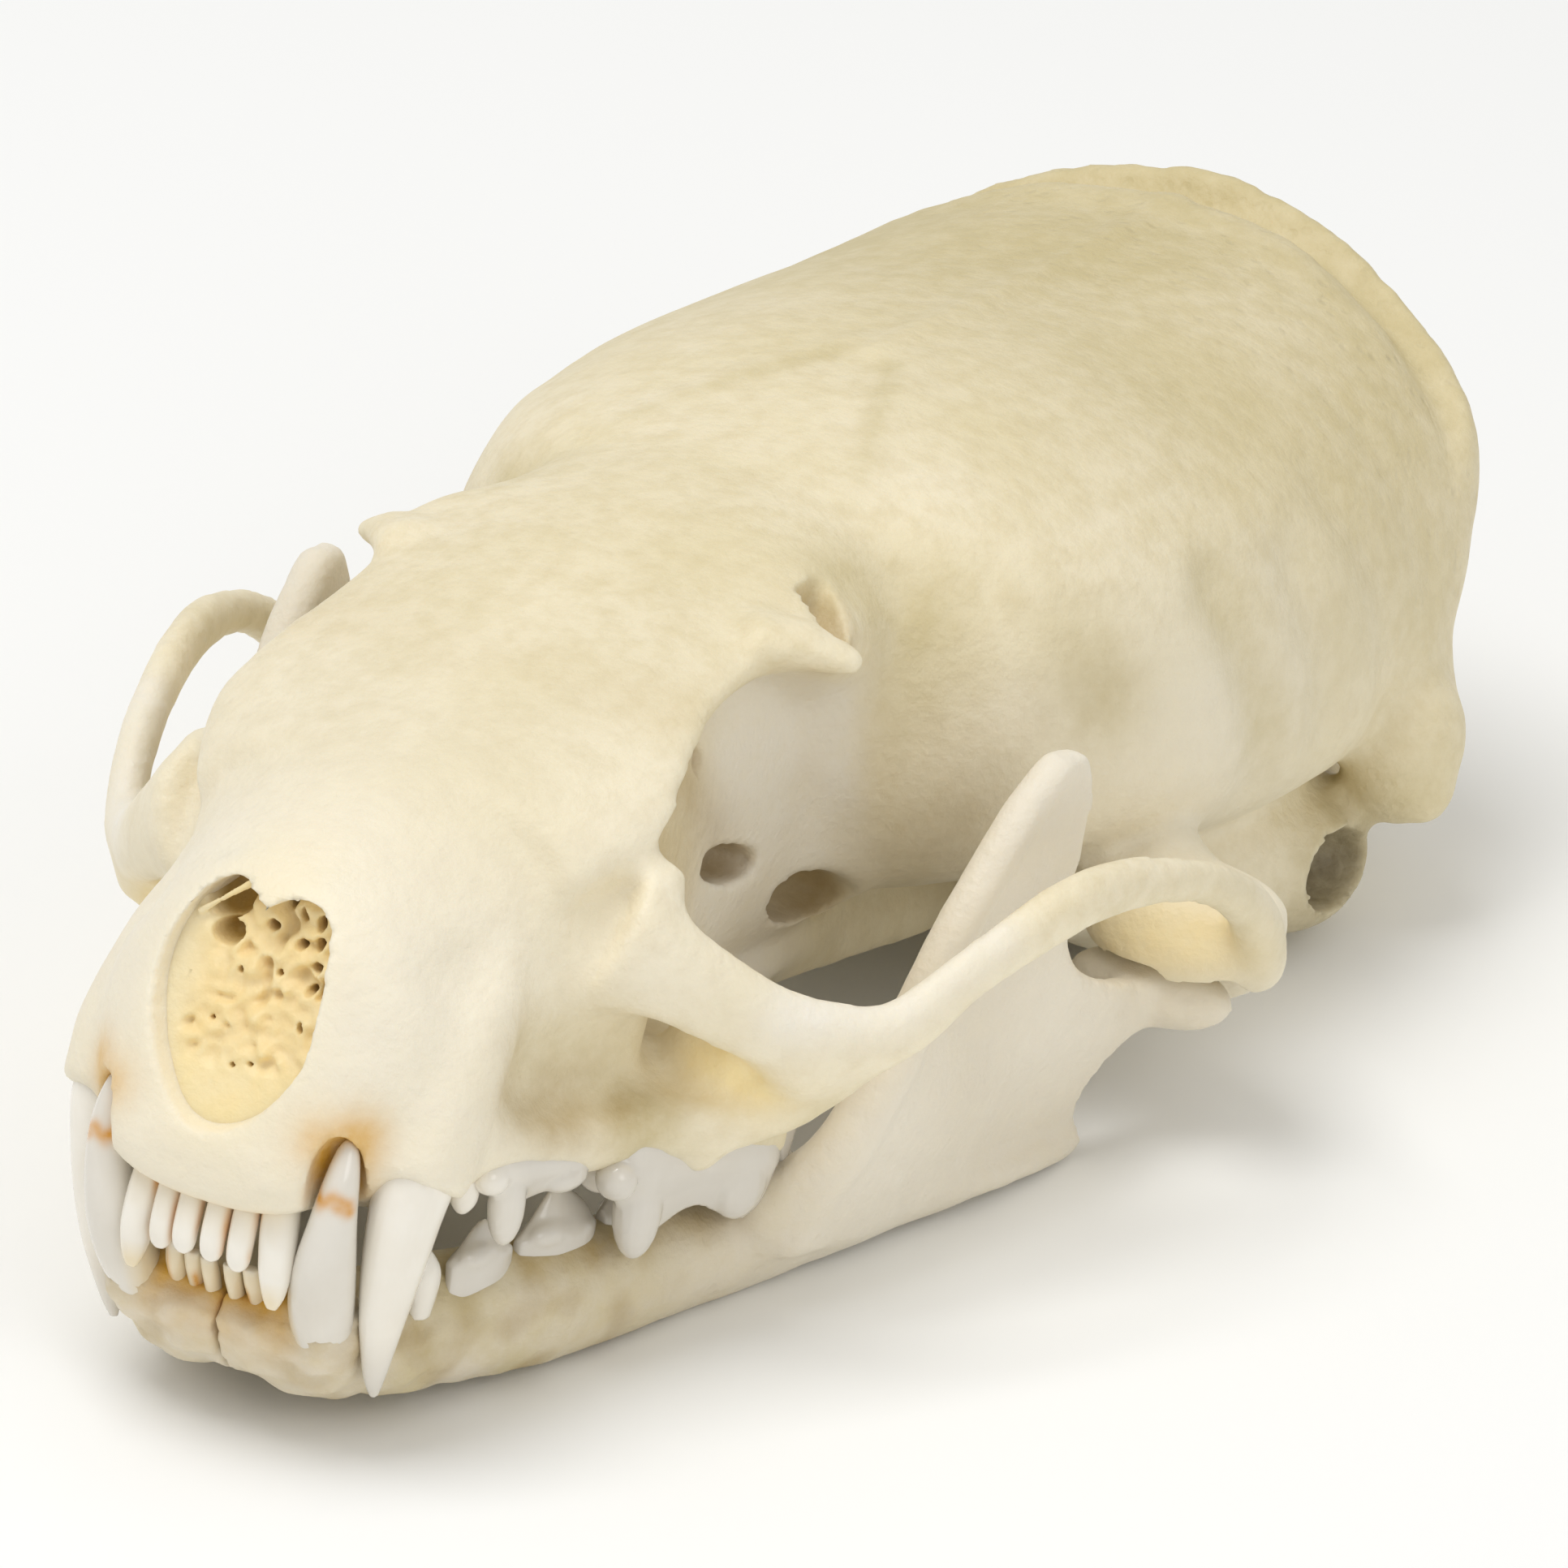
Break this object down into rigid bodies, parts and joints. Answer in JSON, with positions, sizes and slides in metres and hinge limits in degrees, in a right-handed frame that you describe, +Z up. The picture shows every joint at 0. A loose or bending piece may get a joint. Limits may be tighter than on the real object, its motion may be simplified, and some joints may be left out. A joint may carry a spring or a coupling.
{
  "type": "weasel skull",
  "caption": "Cleaned weasel skull resting with its jaw closed: long low braincase, thin cheek arches, hinged lower jaw and separate teeth.",
  "frame": {"origin": "centre of the bounding box's base, on the surface that the skull rests on", "axes": "+Y from the nose to the back of the head, +X to the animal's left, +Z up as the skull rests"},
  "size_m": [0.0272, 0.0474, 0.0163],
  "materials": {
    "skull_bone": "satin",
    "jaw_bone": "satin",
    "tooth_enamel": "glossy"
  },
  "bodies": {
    "cranium": {"cranium": "skull_bone", "upper_incisor_1_left": "tooth_enamel", "upper_incisor_2_left": "tooth_enamel", "upper_incisor_3_left": "tooth_enamel", "upper_canine_left": "tooth_enamel", "upper_premolar_2_left": "tooth_enamel", "upper_premolar_3_left": "tooth_enamel", "upper_premolar_4_left": "tooth_enamel", "upper_molar_1_left": "tooth_enamel", "upper_incisor_1_right": "tooth_enamel", "upper_incisor_2_right": "tooth_enamel", "upper_incisor_3_right": "tooth_enamel", "upper_canine_right": "tooth_enamel", "upper_premolar_2_right": "tooth_enamel", "upper_premolar_3_right": "tooth_enamel", "upper_premolar_4_right": "tooth_enamel", "upper_molar_1_right": "tooth_enamel"},
    "mandible": {"mandible_left": "jaw_bone", "mandible_right": "jaw_bone", "lower_incisor_1_left": "tooth_enamel", "lower_incisor_2_left": "tooth_enamel", "lower_incisor_3_left": "tooth_enamel", "lower_canine_left": "tooth_enamel", "lower_premolar_2_left": "tooth_enamel", "lower_premolar_3_left": "tooth_enamel", "lower_premolar_4_left": "tooth_enamel", "lower_molar_1_left": "tooth_enamel", "lower_molar_2_left": "tooth_enamel", "lower_incisor_1_right": "tooth_enamel", "lower_incisor_2_right": "tooth_enamel", "lower_incisor_3_right": "tooth_enamel", "lower_canine_right": "tooth_enamel", "lower_premolar_2_right": "tooth_enamel", "lower_premolar_3_right": "tooth_enamel", "lower_premolar_4_right": "tooth_enamel", "lower_molar_1_right": "tooth_enamel", "lower_molar_2_right": "tooth_enamel"}
  },
  "joints": [
    {"name": "jaw_hinge", "type": "hinge", "parent": "cranium", "child": "mandible", "pos_m": [0, 0.00261, 0.00374], "axis": [1, 0, 0], "range_deg": [0, 40]}
  ]
}
